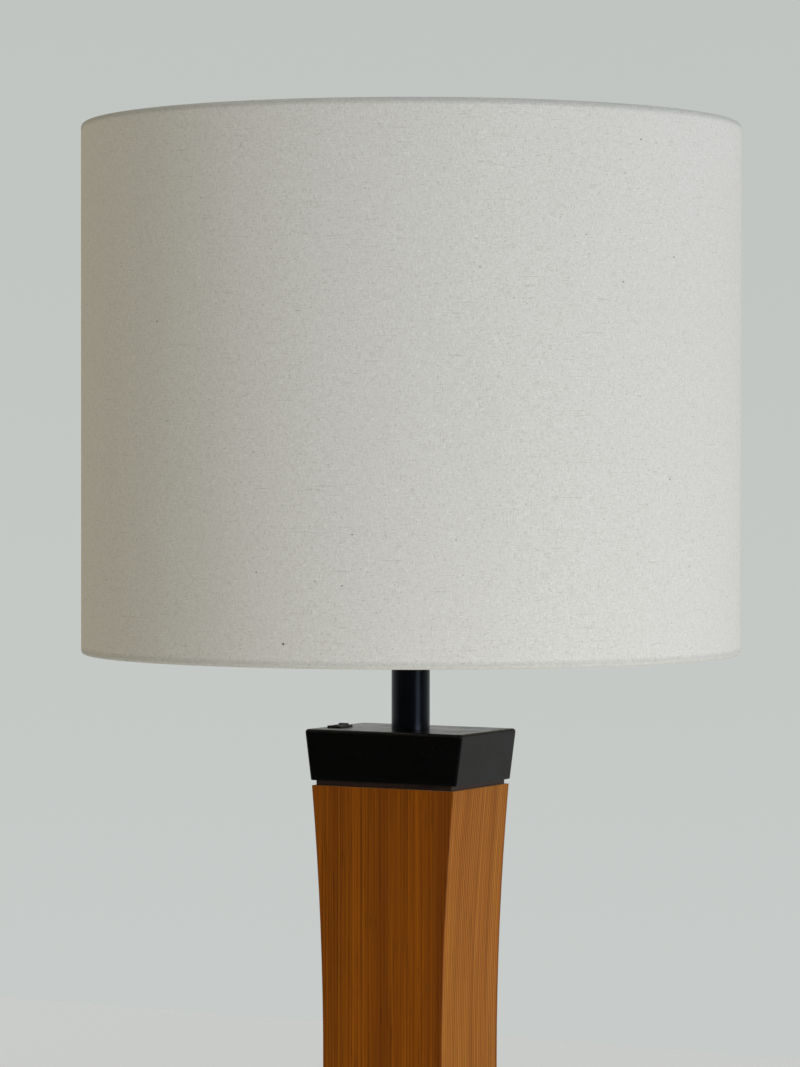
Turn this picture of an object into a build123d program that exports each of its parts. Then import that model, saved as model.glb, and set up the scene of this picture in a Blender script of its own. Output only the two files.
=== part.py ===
"""Column table lamp: a linen drum shade on a waisted, veneered column with a black base and cap.

Millimetres, +Z up. The origin is on the table, on the lamp's vertical centre line.
+X runs along the wide side of the column and +Y to the back, so the broad front faces -Y.
"""
import os
from math import cos, pi, radians, sin, sqrt

from build123d import *

os.makedirs("parts", exist_ok=True)

# ---------------------------------------------------------------- driving dimensions
# The stack, from the table up to the top of the shade
foot_height = 2.0
block_height = 31.0            # base block and cap block
reveal_height = 3.0            # dark recessed spacer at each end of the column
column_height = 338.0
stem_showing = 46.0            # from the cap's top to the lower edge of the shade
shade_height = 320.0

# Base block, cap block and column share one depth; only their left and right sides are shaped
body_depth = 71.0
block_wide = 109.0             # outer end of each block
block_narrow = 100.5           # end next to the column
column_end_width = 97.5
column_waist_width = 81.5
reveal_inset = 2.0
block_wide_radius = 2.0        # rounding of the wide end and the corners
block_narrow_radius = 0.8

# Boards and veneer of the column
veneer_thickness = 0.6
board_thickness = 8.0
end_block_height = 18.0
ballast_height = 30.0
ballast_gap = 0.5              # to the boards all round, at its tightest
ballast_corner_radius = 3.0

# Hollows of the base and cap blocks
base_roof = 9.0
cap_roof = 10.0
cavity_width = 36.0            # front to back, in both blocks
base_cavity_length = 70.0
cap_cavity_left = 44.0         # from the centre line
cap_cavity_right = 24.0

# Base cover, its screws and the feet
cover_length = 84.0
cover_width = 54.0
cover_thickness = 2.0
cover_gap = 0.3                # cover to its rebate, all round
cover_screw_x = 38.5
cover_screw_y = 22.5
cover_screw_radius = 1.4
cover_screw_head_radius = 2.8
cover_screw_length = 10.0
screw_gap = 0.05               # radial, shank to hole
foot_radius = 4.5
foot_x = 47.3
foot_y = 28.5

# Tie rod, its nut and washer, dowels
rod_radius = 5.0
rod_bore_radius = 3.5
rod_gap = 0.2                  # radial, rod to the holes in wood
thread_gap = 0.05              # radial, rod to a threaded hole
nut_flats = 14.0
nut_height = 5.0
washer_radius = 10.0
washer_thickness = 1.5
rod_tail = 3.5                 # rod showing below the nut
left_window_width = 6.4        # windows let the leads into the rod's bore
left_window_low = 6.0          # heights above the underside of the cap block
left_window_high = 20.0
front_window_width = 3.6
front_window_low = 11.0
front_window_high = 22.0
dowel_radius = 3.0
dowel_depth = 8.0              # in each of the two pieces that a dowel joins
dowel_end_gap = 0.5
dowel_gap = 0.05
dowel_x = 20.0
dowel_wall = 1.85              # of the end block, between a dowel's hole and the board

# Cord gland in the back of the base
gland_x = 22.0
gland_rise = 11.0              # above the base block's underside
gland_hole_radius = 5.0
gland_bore_radius = 3.2
gland_flange_radius = 6.5
gland_flange_thickness = 1.5
gland_gap = 0.1

# Terminal block
terminal_length = 16.0
terminal_width = 8.0
terminal_height = 11.0
terminal_x = -29.0
terminal_pole_y = 4.0          # each side of the centre line
terminal_hole_radius = 1.5
terminal_screw_radius = 1.2
terminal_screw_bite = 4.0      # into the base block

# Leads; the heights are above the underside of the cap block
lead_radius = 1.1
lead_start = 3.0               # inside the terminal block
lead_exit = 2.0                # straight out of it
lead_tab_height = 12.0
lead_low_height = 5.5
lead_bend_radius = 6.0
lead_easy_radius = 10.0
neutral_turn_height = 2.0
neutral_entry_height = 19.0
switched_entry_height = 20.0
switched_turn_x = -29.0
live_turn_x = -30.0
lead_spacing = 1.6             # each lead from the centre line of its hole or bore
wire_hole_x = -14.0
wire_hole_radius = 3.5

# Stem and lampholder
stem_diameter = 23.4
stem_wall = 1.5
bush_thickness = 4.0
bush_gap = 0.05
holder_rise = 3.0              # underside of the holder above the shade's lower edge
cup_height = 20.0
cup_foot_radius = 12.5
cup_rim = 2.0                  # straight part at its foot
cup_flare_height = 11.0
cup_radius = 20.0
cup_wall = 2.0
cup_boss_radius = 8.0
cup_boss_height = 9.0
shell_flange_radius = 23.0
shell_flange_thickness = 2.3
shell_radius = 19.8
shell_wall = 1.6
shell_height = 30.0            # threaded skirt above the flange
spigot_depth = 7.0             # part of the shell inside the cup
spigot_wall = 1.5
spigot_gap = 0.1
shell_step = 1.2               # its inner step above the underside of the flange
insert_height = 6.0
insert_drop = 3.0              # its underside below the shell's inner step
insert_gap = 0.2
screw_shell_bore_radius = 13.5
screw_shell_wall = 0.5
screw_shell_height = 25.0
screw_shell_mouth = 9.0        # radius of the hole in its floor
contact_width = 3.0
contact_thickness = 1.0
contact_foot = 2.0             # terminal legs below the insert
contact_slot_gap = 0.1
side_contact_reach = 12.0
side_contact_thickness = 0.8
centre_leaf_width = 5.0
centre_leaf_length = 7.0
centre_leaf_thickness = 0.6
centre_leaf_rise = 2.8         # underside of the leaf above the insert

# Shade
shade_radius = 200.0
fabric_thickness = 0.8
liner_thickness = 0.5
liner_gap = 0.05
liner_end_gap = 0.3
hem_gap = 0.3                  # fabric to wire
ring_wire_radius = 1.5
top_hem_wrap = 210.0           # degrees of fabric round the wire, from the outer wall
bottom_hem_wrap = 170.0
arm_radius = 1.75
arm_count = 3
arm_first_angle = 90.0
arm_rest_gap = 0.2             # above the wire ring that carries it
arm_end_inset = 1.0            # short of the liner
arm_weld_gap = 0.02
fitter_hole_radius = 21.0
fitter_radius = 27.0
fitter_thickness = 1.5
fitter_gap = 0.2               # above the holder's flange and below the shade ring

# Shade ring
shade_ring_radius = 28.5
shade_ring_height = 7.0
shade_ring_gap = 0.3           # radial, to the holder's skirt
flute_radius = 1.5
flute_centre_offset = 0.7      # outside the shade ring's edge
flute_count = 24

# Bulb
bulb_length = 108.0
bulb_radius = 30.0
bulb_wall = 1.0
bulb_rest_gap = 0.1            # tip above the centre leaf
bulb_tip_radius = 4.0
bulb_tip_height = 1.0
bulb_cone_height = 2.5
bulb_cone_radius = 11.0
bulb_cone_foot = 5.0
bulb_cap_radius = 13.1
bulb_cap_wall = 0.4
bulb_cap_height = 22.0
bulb_neck_depth = 5.0          # neck of the globe inside the cap
bulb_neck_gap = 0.1
bulb_shoulder_radius = 14.5
bulb_shoulder_rise = 2.0
led_stem_radius = 9.0
led_stem_height = 46.0
led_board_radius = 16.0
led_board_thickness = 1.6

# Rocker switch in the cap
switch_x = -44.0
switch_y = -10.0
bezel_width = 10.0
bezel_length = 15.0
bezel_thickness = 1.2
bezel_corner_radius = 1.0
bezel_edge_radius = 0.4
housing_width = 8.4
housing_length = 13.4
housing_depth = 13.5
housing_wall = 0.8
housing_floor = 1.0
cutout_gap = 0.1
cutout_depth = 23.0
rocker_pivot_drop = 0.5        # below the cap's top
rocker_side_gap = 0.2
rocker_end_gap = 0.3
rocker_lean = 10.0             # degrees from level, back end up, when off
rocker_tip_angle = 20.0
rocker_hollow = 0.9            # middle of its top above the pivot
rocker_skirt_angle = -35.0
rocker_leg_radius = 1.4
rocker_leg_length = 5.5
trunnion_radius = 0.8
trunnion_length = 0.7
trunnion_gap = 0.05
plunger_radius = 0.8
plunger_gap = 0.05
plunger_reach = 7.0            # pivot to the plunger's tip
plunger_length = 3.4
plunger_tip_radius = 0.4
spring_wall = 0.3
spring_gap = 0.05
spring_length = 1.9
lever_lean = 6.0               # degrees, front end up, when off
lever_length = 9.2
lever_width = 3.5
lever_thickness = 0.5
lever_gap = 0.15               # plunger to lever when both are level
rivet_radius = 0.9
rivet_height = 0.4
rivet_inset = 0.7              # from the lever's end to the rivet's centre
terminal_plate_width = 4.8
terminal_plate_thickness = 0.8
terminal_tab_length = 7.0
saddle_gap = 0.05
load_contact_gap = 0.1
tab_slot_gap = 0.05

# ---------------------------------------------------------------- heights and places
base_z = foot_height
base_top_z = base_z + block_height
base_roof_z = base_top_z - base_roof
column_z = base_top_z + reveal_height
waist_z = column_z + column_height / 2
column_top_z = column_z + column_height
cap_z = column_top_z + reveal_height
cap_top_z = cap_z + block_height
cap_roof_z = cap_top_z - cap_roof
shade_z = cap_top_z + stem_showing
shade_top_z = shade_z + shade_height
gland_z = base_z + gland_rise
terminal_z = base_roof_z - terminal_height / 2
rod_z = base_roof_z - washer_thickness - nut_height - rod_tail
holder_z = shade_z + holder_rise
rod_top_z = holder_z + cup_boss_height
cup_top_z = holder_z + cup_height
flange_top_z = cup_top_z + shell_flange_thickness
shell_top_z = flange_top_z + shell_height
step_z = cup_top_z + shell_step
insert_z = step_z - insert_drop
insert_top_z = insert_z + insert_height
contact_foot_z = insert_z - contact_foot
leaf_z = insert_top_z + centre_leaf_rise
bulb_z = leaf_z + centre_leaf_thickness + bulb_rest_gap
bulb_cap_z = bulb_z + bulb_tip_height + bulb_cone_height
bulb_cap_top_z = bulb_cap_z + bulb_cap_height
bulb_centre_z = bulb_z + bulb_length - bulb_radius
fitter_z = flange_top_z + fitter_gap
fitter_top_z = fitter_z + fitter_thickness
bottom_wire_z = shade_z + fabric_thickness + hem_gap + ring_wire_radius
top_wire_z = shade_top_z - fabric_thickness - hem_gap - ring_wire_radius
pivot_z = cap_top_z - rocker_pivot_drop
housing_z = cap_top_z - housing_depth
lever_z = pivot_z - plunger_reach - lever_gap - lever_thickness

rod_hole_radius = rod_radius + rod_gap
gland_wall = (body_depth - cavity_width) / 2
spigot_radius = cup_radius - cup_wall - spigot_gap
shell_bore_radius = shell_radius - shell_wall
wire_circle_radius = shade_radius - fabric_thickness - hem_gap - ring_wire_radius
liner_radius = shade_radius - fabric_thickness - liner_gap
housing_inner_width = housing_width - 2 * housing_wall
housing_inner_length = housing_length - 2 * housing_wall
rocker_radius = housing_inner_length / 2 - rocker_end_gap
rocker_width = housing_inner_width - 2 * rocker_side_gap
plunger_bore_top = plunger_reach - plunger_length - spring_length
load_contact_y = lever_length / 2 - rivet_inset
core_depth = body_depth - 2 * veneer_thickness
inner_depth = core_depth - 2 * board_thickness
dowel_y = inner_depth / 2 - dowel_wall - dowel_gap - dowel_radius
skin_inset = veneer_thickness + board_thickness

# The rocker leans about its pivot, and the lever below it leans the other way
rocker_plane = Plane(
    origin=(switch_x, switch_y, pivot_z),
    x_dir=(0, cos(radians(rocker_lean)), sin(radians(rocker_lean))),
    z_dir=(1, 0, 0),
)
plunger_plane = Plane(rocker_plane.origin, x_dir=(1, 0, 0), z_dir=rocker_plane.y_dir)
lever_plane = Plane(
    origin=(switch_x, switch_y, lever_z),
    x_dir=(0, cos(radians(lever_lean)), -sin(radians(lever_lean))),
    z_dir=(1, 0, 0),
)
rivet_plane = Plane(lever_plane.origin, x_dir=(1, 0, 0), z_dir=-lever_plane.y_dir)

# The column's side is an arc of a large circle whose centre lies outside the column
side_sag = (column_end_width - column_waist_width) / 2
side_radius = ((column_height / 2) ** 2 + side_sag**2) / (2 * side_sag)
side_centre_x = column_waist_width / 2 + side_radius


def side_x(height, inset):
    """Distance from the centre line to the column's side, less an inset square to the side."""
    return side_centre_x - sqrt((side_radius + inset) ** 2 - (height - waist_z) ** 2)


def side_arc(side, inset, low, high):
    """The column's left (-1) or right (+1) side as an arc between two heights."""
    middle = (low + high) / 2
    return ThreePointArc(
        (side * side_x(low, inset), low),
        (side * side_x(middle, inset), middle),
        (side * side_x(high, inset), high),
    )


def waisted_face(inset, low, high):
    """Front view of the column between two heights, drawn in by an inset at both sides."""
    with BuildLine() as outline:
        right = side_arc(1, inset, low, high)
        left = side_arc(-1, inset, low, high)
        Line(right @ 0, left @ 0)
        Line(right @ 1, left @ 1)
    make_face(outline.edges())


def side_band(side, outer_inset, inner_inset):
    """Front view of a skin that follows one side of the column over its whole height."""
    with BuildLine() as outline:
        outer = side_arc(side, outer_inset, column_z, column_top_z)
        inner = side_arc(side, inner_inset, column_z, column_top_z)
        Line(outer @ 0, inner @ 0)
        Line(outer @ 1, inner @ 1)
    make_face(outline.edges())


def block_face(wide_end_z, narrow_end_z):
    """Front view of a base or cap block."""
    with BuildLine() as outline:
        Polyline(
            (-block_wide / 2, wide_end_z),
            (block_wide / 2, wide_end_z),
            (block_narrow / 2, narrow_end_z),
            (-block_narrow / 2, narrow_end_z),
            close=True,
        )
    make_face(outline.edges())


def soften(block, wide_face, narrow_face):
    """Round the wide end and the corners of a block, and ease its narrow end."""
    corners = block.edges().filter_by(lambda edge: abs((edge @ 1 - edge @ 0).Z) > reveal_height)
    fillet(wide_face.edges() + corners, block_wide_radius)
    narrow_end = block.faces().filter_by(Plane.XY).sort_by(Axis.Z)[narrow_face]
    fillet(narrow_end.edges(), block_narrow_radius)


def rod_and_wire_holes(mode=Mode.ADD):
    """Circles for the tie rod and, beside it, for the leads."""
    Circle(rod_hole_radius, mode=mode)
    with Locations((wire_hole_x, 0)):
        Circle(wire_hole_radius, mode=mode)


def rocker_point(angle):
    """Point on the round ends of the rocker, by its angle above level at the pivot."""
    return (rocker_radius * cos(radians(angle)), rocker_radius * sin(radians(angle)))


def hem_point(radius, wire_z, angle):
    """Point at a radius round one of the shade's wire rings, from its outer side."""
    return (
        wire_circle_radius + radius * cos(radians(angle)),
        wire_z + radius * sin(radians(angle)),
    )


def globe_outline(wall):
    """Half outline of the bulb's globe, drawn in by a wall: neck, hollow shoulder, round end.

    The shoulder arc starts upright and runs smoothly into the round end.
    """
    shoulder_z = bulb_cap_top_z + bulb_shoulder_rise
    drop = bulb_centre_z - shoulder_z
    hollow_radius = (bulb_shoulder_radius**2 + drop**2 - bulb_radius**2) / (
        2 * (bulb_radius - bulb_shoulder_radius)
    )
    centre = Vector(0, bulb_centre_z)
    hollow_centre = Vector(bulb_shoulder_radius + hollow_radius, shoulder_z)
    to_join = (hollow_centre - centre).normalized()
    join = centre + to_join * (bulb_radius - wall)
    shoulder = Vector(bulb_shoulder_radius - wall, shoulder_z)
    to_middle = ((shoulder - hollow_centre) + (join - hollow_centre)).normalized()
    middle = hollow_centre + to_middle * (hollow_radius + wall)
    neck_radius = bulb_cap_radius - bulb_cap_wall - bulb_neck_gap - wall
    top = Vector(0, bulb_centre_z + bulb_radius - wall)
    to_side = ((join - centre) + (top - centre)).normalized()
    with BuildLine() as outline:
        Polyline(
            (0, bulb_cap_top_z - bulb_neck_depth),
            (neck_radius, bulb_cap_top_z - bulb_neck_depth),
            (neck_radius, bulb_cap_top_z),
            shoulder,
        )
        ThreePointArc(shoulder, middle, join)
        ThreePointArc(join, centre + to_side * (bulb_radius - wall), top)
        Line(top, (0, bulb_cap_top_z - bulb_neck_depth))
    make_face(outline.edges())


def cover_screw_places():
    """The four screws of the base cover."""
    return GridLocations(2 * cover_screw_x, 2 * cover_screw_y, 2, 2)


def dowel_places():
    """The two dowels at each end of the column stand on a diagonal."""
    return Locations((dowel_x, dowel_y), (-dowel_x, -dowel_y))


def turned(*outline, centre=(0, 0)):
    """Solid of revolution about an upright axis, from (radius, height) corners."""
    place = Vector(*centre, 0)
    with BuildSketch(Plane(origin=place, x_dir=(1, 0, 0), z_dir=(0, -1, 0))) as profile:
        with BuildLine():
            Polyline(*outline, close=True)
        make_face()
    revolve(profile.sketch, axis=Axis(place, (0, 0, 1)))


def finish(piece, name):
    """Label a finished piece and write it."""
    piece.part.label = name
    export_step(piece.part, f"parts/{name}.step")


# ---------------------------------------------------------------- base
with BuildPart() as base_block:
    with BuildSketch(Plane.XZ):
        block_face(base_z, base_top_z)
    extrude(amount=body_depth / 2, both=True)
    soften(base_block, base_block.faces().sort_by(Axis.Z)[0], -1)
    with BuildSketch(Plane.XY.offset(base_z)):
        Rectangle(cover_length, cover_width)
    extrude(amount=cover_thickness, mode=Mode.SUBTRACT)
    with BuildSketch(Plane.XY.offset(base_z)):
        Rectangle(base_cavity_length, cavity_width)
    extrude(amount=block_height - base_roof, mode=Mode.SUBTRACT)
    with BuildSketch(Plane.XY.offset(base_roof_z)):
        rod_and_wire_holes()
    extrude(amount=base_roof, mode=Mode.SUBTRACT)
    with BuildSketch(Plane.XY.offset(base_top_z)):
        with dowel_places():
            Circle(dowel_radius + dowel_gap)
    extrude(amount=-dowel_depth, mode=Mode.SUBTRACT)
    with BuildSketch(Plane.XY.offset(base_z + cover_thickness)):
        with cover_screw_places():
            Circle(cover_screw_radius + screw_gap)
    extrude(amount=cover_screw_length, mode=Mode.SUBTRACT)
    with BuildSketch(Plane.XY.offset(base_roof_z)):
        with Locations((terminal_x, 0)):
            Circle(terminal_screw_radius + screw_gap)
    extrude(amount=terminal_screw_bite + dowel_end_gap, mode=Mode.SUBTRACT)
    with BuildSketch(Plane.XZ.offset(-body_depth / 2)):
        with Locations((gland_x, gland_z)):
            Circle(gland_hole_radius)
    extrude(amount=gland_wall, mode=Mode.SUBTRACT)
finish(base_block, "base_block")

with BuildPart() as base_cover:
    with BuildSketch(Plane.XY.offset(base_z)):
        Rectangle(cover_length - 2 * cover_gap, cover_width - 2 * cover_gap)
        with cover_screw_places():
            Circle(cover_screw_radius + screw_gap, mode=Mode.SUBTRACT)
    extrude(amount=cover_thickness)
    heads = base_cover.faces().sort_by(Axis.Z)[0].edges().filter_by(GeomType.CIRCLE)
    chamfer(heads, cover_screw_head_radius - cover_screw_radius)
finish(base_cover, "base_cover")

with BuildPart() as cover_screws:
    for place in cover_screw_places():
        turned(
            (0, base_z),
            (cover_screw_head_radius, base_z),
            (cover_screw_radius, base_z + cover_screw_head_radius - cover_screw_radius),
            (cover_screw_radius, base_z + cover_screw_length - cover_screw_radius),
            (0, base_z + cover_screw_length),
            centre=(place.position.X, place.position.Y),
        )
finish(cover_screws, "cover_screws")

with BuildPart() as foot_pads:
    with BuildSketch():
        with GridLocations(2 * foot_x, 2 * foot_y, 2, 2):
            Circle(foot_radius)
    extrude(amount=foot_height)
finish(foot_pads, "foot_pads")

with BuildPart() as cord_gland:
    with BuildSketch(Plane.XZ.offset(-body_depth / 2)):
        with Locations((gland_x, gland_z)):
            Circle(gland_flange_radius)
    extrude(amount=-gland_flange_thickness)
    fillet(cord_gland.edges().sort_by(Axis.Y)[-1], gland_flange_thickness / 2)
    with BuildSketch(Plane.XZ.offset(-body_depth / 2)):
        with Locations((gland_x, gland_z)):
            Circle(gland_hole_radius - gland_gap)
    extrude(amount=gland_wall)
    with BuildSketch(Plane.XZ.offset(-body_depth / 2 - gland_flange_thickness)):
        with Locations((gland_x, gland_z)):
            Circle(gland_bore_radius)
    extrude(amount=gland_flange_thickness + gland_wall, mode=Mode.SUBTRACT)
finish(cord_gland, "cord_gland")

with BuildPart() as terminal_block:
    with BuildSketch(Plane.XY.offset(base_roof_z)):
        with Locations((terminal_x, 0)):
            Rectangle(terminal_width, terminal_length)
            Circle(terminal_screw_radius + screw_gap, mode=Mode.SUBTRACT)
    extrude(amount=-terminal_height)
    with BuildSketch(Plane.YZ.offset(terminal_x - terminal_width / 2)):
        with Locations((-terminal_pole_y, terminal_z), (terminal_pole_y, terminal_z)):
            Circle(terminal_hole_radius)
    extrude(amount=terminal_width, mode=Mode.SUBTRACT)
finish(terminal_block, "terminal_block")

with BuildPart() as terminal_screw:
    turned(
        (0, base_roof_z - terminal_height - terminal_screw_radius),
        (2 * terminal_screw_radius, base_roof_z - terminal_height - terminal_screw_radius),
        (2 * terminal_screw_radius, base_roof_z - terminal_height),
        (terminal_screw_radius, base_roof_z - terminal_height),
        (terminal_screw_radius, base_roof_z + terminal_screw_bite),
        (0, base_roof_z + terminal_screw_bite),
        centre=(terminal_x, 0),
    )
finish(terminal_screw, "terminal_screw")

# ---------------------------------------------------------------- tie rod
with BuildPart() as tie_rod:
    turned(
        (rod_bore_radius, rod_z),
        (rod_radius, rod_z),
        (rod_radius, rod_top_z),
        (rod_bore_radius, rod_top_z),
    )
    with BuildSketch(Plane.YZ):
        with Locations((0, cap_z + (left_window_low + left_window_high) / 2)):
            Rectangle(left_window_width, left_window_high - left_window_low)
    extrude(amount=-rod_radius, mode=Mode.SUBTRACT)
    with BuildSketch(Plane.XZ):
        with Locations((0, cap_z + (front_window_low + front_window_high) / 2)):
            Rectangle(front_window_width, front_window_high - front_window_low)
    extrude(amount=rod_radius, mode=Mode.SUBTRACT)
finish(tie_rod, "tie_rod")

with BuildPart() as rod_washer:
    with BuildSketch(Plane.XY.offset(base_roof_z)):
        Circle(washer_radius)
        Circle(rod_hole_radius, mode=Mode.SUBTRACT)
    extrude(amount=-washer_thickness)
finish(rod_washer, "rod_washer")

with BuildPart() as rod_nut:
    with BuildSketch(Plane.XY.offset(base_roof_z - washer_thickness)):
        RegularPolygon(nut_flats / 2, 6, major_radius=False)
        Circle(rod_radius + thread_gap, mode=Mode.SUBTRACT)
    extrude(amount=-nut_height)
finish(rod_nut, "rod_nut")

# ---------------------------------------------------------------- column
for name, spacer_z in (("lower_spacer", base_top_z), ("upper_spacer", column_top_z)):
    with BuildPart() as spacer:
        with BuildSketch(Plane.XY.offset(spacer_z)):
            Rectangle(column_end_width - 2 * reveal_inset, body_depth - 2 * reveal_inset)
            rod_and_wire_holes(Mode.SUBTRACT)
            with dowel_places():
                Circle(dowel_radius + dowel_gap, mode=Mode.SUBTRACT)
        extrude(amount=reveal_height)
    finish(spacer, name)

for name, low, dowel_end in (
    ("foot_block", column_z, column_z),
    ("head_block", column_top_z - end_block_height, column_top_z - dowel_depth),
):
    with BuildPart() as end_block:
        with BuildSketch(Plane.XZ):
            waisted_face(skin_inset, low, low + end_block_height)
        extrude(amount=inner_depth / 2, both=True)
        with BuildSketch(Plane.XY.offset(low)):
            rod_and_wire_holes()
        extrude(amount=end_block_height, mode=Mode.SUBTRACT)
        with BuildSketch(Plane.XY.offset(dowel_end)):
            with dowel_places():
                Circle(dowel_radius + dowel_gap)
        extrude(amount=dowel_depth, mode=Mode.SUBTRACT)
    finish(end_block, name)

with BuildPart() as alignment_dowels:
    for joint_z in (base_top_z - dowel_depth, column_top_z - dowel_depth):
        with BuildSketch(Plane.XY.offset(joint_z + dowel_end_gap)):
            with dowel_places():
                Circle(dowel_radius)
        extrude(amount=2 * dowel_depth + reveal_height - 2 * dowel_end_gap)
finish(alignment_dowels, "alignment_dowels")

# The column narrows above its foot, so the ballast's top is its tightest level
ballast_z = column_z + end_block_height
ballast_half_length = side_x(ballast_z + ballast_height, skin_inset) - ballast_gap
with BuildPart() as ballast_block:
    with BuildSketch(Plane.XY.offset(ballast_z)):
        Rectangle(2 * ballast_half_length, inner_depth - 2 * ballast_gap)
    extrude(amount=ballast_height)
    fillet(ballast_block.edges().filter_by(Axis.Z), ballast_corner_radius)
    with BuildSketch(Plane.XY.offset(ballast_z)):
        rod_and_wire_holes()
    extrude(amount=ballast_height, mode=Mode.SUBTRACT)
finish(ballast_block, "ballast_block")

# Front and back: a board over the whole inner width and a veneer over the edges of the side skins
for name, face_y in (("front", -1), ("back", 1)):
    with BuildPart() as board:
        with BuildSketch(Plane.XZ.offset(-face_y * inner_depth / 2)):
            waisted_face(veneer_thickness, column_z, column_top_z)
        extrude(amount=-face_y * board_thickness)
    finish(board, f"board_{name}")
    with BuildPart() as veneer:
        with BuildSketch(Plane.XZ.offset(-face_y * core_depth / 2)):
            waisted_face(0, column_z, column_top_z)
        extrude(amount=-face_y * veneer_thickness)
    finish(veneer, f"veneer_{name}")

for name, side in (("left", -1), ("right", 1)):
    with BuildPart() as board:
        with BuildSketch(Plane.XZ):
            side_band(side, veneer_thickness, skin_inset)
        extrude(amount=inner_depth / 2, both=True)
    finish(board, f"board_{name}")
    with BuildPart() as veneer:
        with BuildSketch(Plane.XZ):
            side_band(side, 0, veneer_thickness)
        extrude(amount=core_depth / 2, both=True)
    finish(veneer, f"veneer_{name}")

# ---------------------------------------------------------------- cap
with BuildPart() as cap_block:
    with BuildSketch(Plane.XZ):
        block_face(cap_top_z, cap_z)
    extrude(amount=body_depth / 2, both=True)
    soften(cap_block, cap_block.faces().sort_by(Axis.Z)[-1], 0)
    with BuildSketch(Plane.XY.offset(cap_z)):
        with Locations(((cap_cavity_right - cap_cavity_left) / 2, 0)):
            Rectangle(cap_cavity_left + cap_cavity_right, cavity_width)
    extrude(amount=block_height - cap_roof, mode=Mode.SUBTRACT)
    with BuildSketch(Plane.XY.offset(cap_roof_z)):
        Circle(rod_hole_radius)
    extrude(amount=cap_roof, mode=Mode.SUBTRACT)
    with BuildSketch(Plane.XY.offset(cap_top_z)):
        with Locations((switch_x, switch_y)):
            Rectangle(housing_width + 2 * cutout_gap, housing_length + 2 * cutout_gap)
    extrude(amount=-cutout_depth, mode=Mode.SUBTRACT)
    with BuildSketch(Plane.XY.offset(cap_z)):
        with dowel_places():
            Circle(dowel_radius + dowel_gap)
    extrude(amount=dowel_depth, mode=Mode.SUBTRACT)
finish(cap_block, "cap_block")

# ---------------------------------------------------------------- rocker switch
with BuildPart() as switch_housing:
    with BuildSketch(Plane.XY.offset(cap_top_z)):
        with Locations((switch_x, switch_y)):
            RectangleRounded(bezel_width, bezel_length, bezel_corner_radius)
    extrude(amount=bezel_thickness)
    fillet(switch_housing.faces().sort_by(Axis.Z)[-1].edges(), bezel_edge_radius)
    with BuildSketch(Plane.XY.offset(cap_top_z)):
        with Locations((switch_x, switch_y)):
            Rectangle(housing_width, housing_length)
    extrude(amount=-housing_depth)
    with BuildSketch(Plane.XY.offset(housing_z + housing_floor)):
        with Locations((switch_x, switch_y)):
            Rectangle(housing_inner_width, housing_inner_length)
    extrude(amount=housing_depth + bezel_thickness - housing_floor, mode=Mode.SUBTRACT)
    with BuildSketch(Plane.XY.offset(housing_z)):
        with Locations((switch_x, switch_y), (switch_x, switch_y - load_contact_y)):
            Rectangle(
                terminal_plate_width + 2 * tab_slot_gap,
                terminal_plate_thickness + 2 * tab_slot_gap,
            )
    extrude(amount=housing_floor, mode=Mode.SUBTRACT)
    with BuildSketch(rocker_plane):
        Circle(trunnion_radius + trunnion_gap)
    extrude(amount=housing_width / 2, both=True, mode=Mode.SUBTRACT)
finish(switch_housing, "switch_housing")

with BuildPart() as switch_rocker:
    with BuildSketch(rocker_plane):
        with BuildLine():
            back_tip = rocker_point(rocker_tip_angle)
            front_tip = (-back_tip[0], back_tip[1])
            back_skirt = rocker_point(rocker_skirt_angle)
            front_skirt = (-back_skirt[0], back_skirt[1])
            ThreePointArc(back_tip, rocker_point(0), back_skirt)
            Polyline(
                back_skirt,
                (rocker_leg_radius, back_skirt[1]),
                (rocker_leg_radius, -rocker_leg_length),
                (-rocker_leg_radius, -rocker_leg_length),
                (-rocker_leg_radius, back_skirt[1]),
                front_skirt,
            )
            ThreePointArc(front_skirt, (-rocker_radius, 0), front_tip)
            ThreePointArc(front_tip, (0, rocker_hollow), back_tip)
        make_face()
    extrude(amount=rocker_width / 2, both=True)
    with BuildSketch(rocker_plane):
        Circle(trunnion_radius)
    extrude(amount=rocker_width / 2 + trunnion_length, both=True)
    with BuildSketch(plunger_plane.offset(-rocker_leg_length)):
        Circle(plunger_radius + plunger_gap)
    extrude(amount=rocker_leg_length - plunger_bore_top, mode=Mode.SUBTRACT)
finish(switch_rocker, "switch_rocker")

with BuildPart() as switch_plunger:
    with BuildSketch(plunger_plane.offset(-plunger_reach)):
        Circle(plunger_radius)
    extrude(amount=plunger_length)
    tip = switch_plunger.edges().sort_by(Axis(plunger_plane.origin, plunger_plane.z_dir))[0]
    fillet(tip, plunger_tip_radius)
finish(switch_plunger, "switch_plunger")

with BuildPart() as switch_spring:
    with BuildSketch(plunger_plane.offset(plunger_length - plunger_reach)):
        Circle(plunger_radius - spring_gap)
        Circle(plunger_radius - spring_gap - spring_wall, mode=Mode.SUBTRACT)
    extrude(amount=spring_length)
finish(switch_spring, "switch_spring")

with BuildPart() as switch_lever:
    with BuildSketch(lever_plane):
        with Locations((0, lever_thickness / 2)):
            Rectangle(lever_length, lever_thickness)
    extrude(amount=lever_width / 2, both=True)
    with BuildSketch(rivet_plane):
        with Locations((0, load_contact_y)):
            Circle(rivet_radius)
    extrude(amount=rivet_height)
finish(switch_lever, "switch_lever")

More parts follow.
